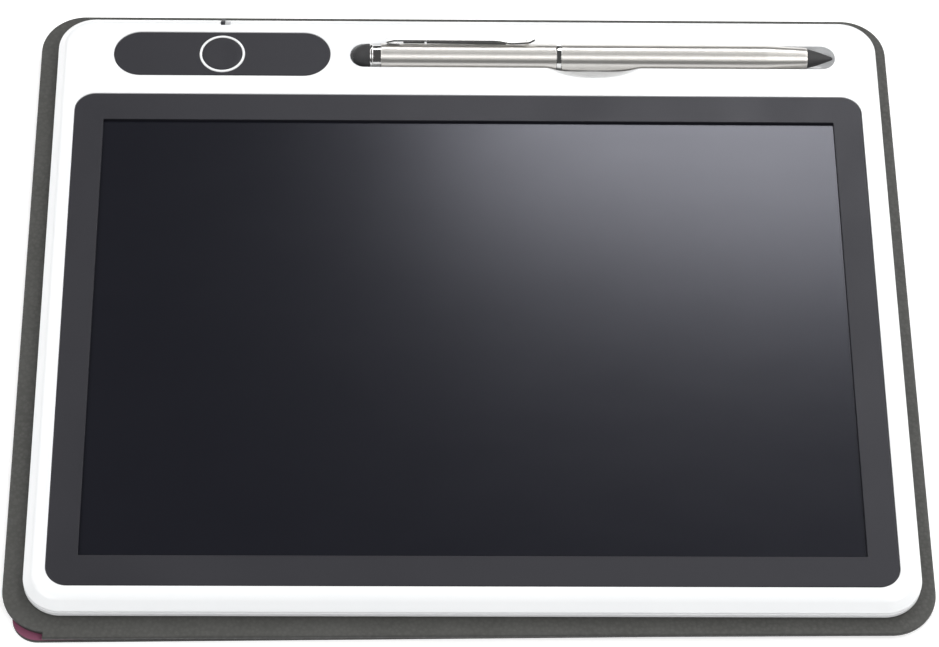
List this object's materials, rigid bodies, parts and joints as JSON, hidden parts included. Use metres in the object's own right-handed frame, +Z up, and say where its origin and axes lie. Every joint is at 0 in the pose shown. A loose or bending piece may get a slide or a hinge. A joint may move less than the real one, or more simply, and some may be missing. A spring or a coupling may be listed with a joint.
{
  "type": "lcd writing tablet with stylus",
  "caption": "Flat LCD writing tablet in a white housing on a thin textured base, with an erase button and a clipped metal stylus in a groove.",
  "frame": {"origin": "middle of the footprint, on the underside of the base", "axes": "+X along the long side to the right, +Y away from the writer towards the stylus groove, +Z up out of the screen"},
  "size_m": [0.2482, 0.2056, 0.0142],
  "materials": {
    "white_gloss": "moulded, glossy",
    "dark_satin": "fine satin",
    "screen_film": "smooth writing film",
    "black_plastic": "moulded",
    "chrome": "polished",
    "brushed_steel": "brushed along the barrel",
    "rubber": "soft, matt",
    "grey_leather": "fine pebble grain",
    "wine_lining": "smooth lining cloth",
    "sole": "fine grain",
    "adhesive_foam": "foam tape",
    "circuit_laminate": "solder mask",
    "plain_steel": "plated",
    "copper_flex": "tinned leaf and flex"
  },
  "bodies": {
    "tablet": {"adhesive_sheet": "adhesive_foam", "base_board": "grey_leather", "base_lining": "wine_lining", "base_sole": "sole", "battery_contact_side": "copper_flex", "battery_contact_top": "copper_flex", "battery_door": "white_gloss", "button_panel": "dark_satin", "button_ring": "white_gloss", "circuit_board": "circuit_laminate", "coin_cell": "plain_steel", "controller_chip": "black_plastic", "erase_switch": "plain_steel", "front_shell": "white_gloss", "lcd_backplate": "black_plastic", "lcd_film": "screen_film", "lcd_ribbon": "copper_flex", "lock_switch": "plain_steel", "rear_shell": "white_gloss", "screen_bezel": "dark_satin", "shell_screw_1": "plain_steel", "shell_screw_2": "plain_steel", "shell_screw_3": "plain_steel", "shell_screw_4": "plain_steel", "shell_screw_5": "plain_steel", "shell_screw_6": "plain_steel"},
    "erase_button": {"erase_button": "dark_satin", "switch_plunger": "black_plastic"},
    "lock": {"lock_slider": "dark_satin"},
    "stylus": {"clip_root": "chrome", "stylus_dome": "rubber", "stylus_collar": "chrome", "stylus_front_barrel": "brushed_steel", "stylus_mid_ring": "chrome", "stylus_coupler": "black_plastic", "stylus_rear_barrel": "brushed_steel", "stylus_tip": "rubber"},
    "clip": {"stylus_clip": "chrome"}
  },
  "joints": [
    {"name": "erase_press", "type": "slide", "parent": "tablet", "child": "erase_button", "axis": [0, 0, -1], "range_m": [0, 0.0005], "stiffness_N_per_m": 2000},
    {"name": "lock_slide", "type": "slide", "parent": "tablet", "child": "lock", "axis": [1, 0, 0], "range_m": [0, 0.0015]},
    {"name": "stylus_lift", "type": "slide", "parent": "tablet", "child": "stylus", "axis": [0, 0, 1], "range_m": [0, 0.03]},
    {"name": "clip_flex", "type": "hinge", "parent": "stylus", "child": "clip", "pos_m": [-0.02247, 0.08718, 0.01232], "axis": [0, -0.809, 0.5878], "range_deg": [0, 4], "stiffness_Nm_per_rad": 3}
  ]
}
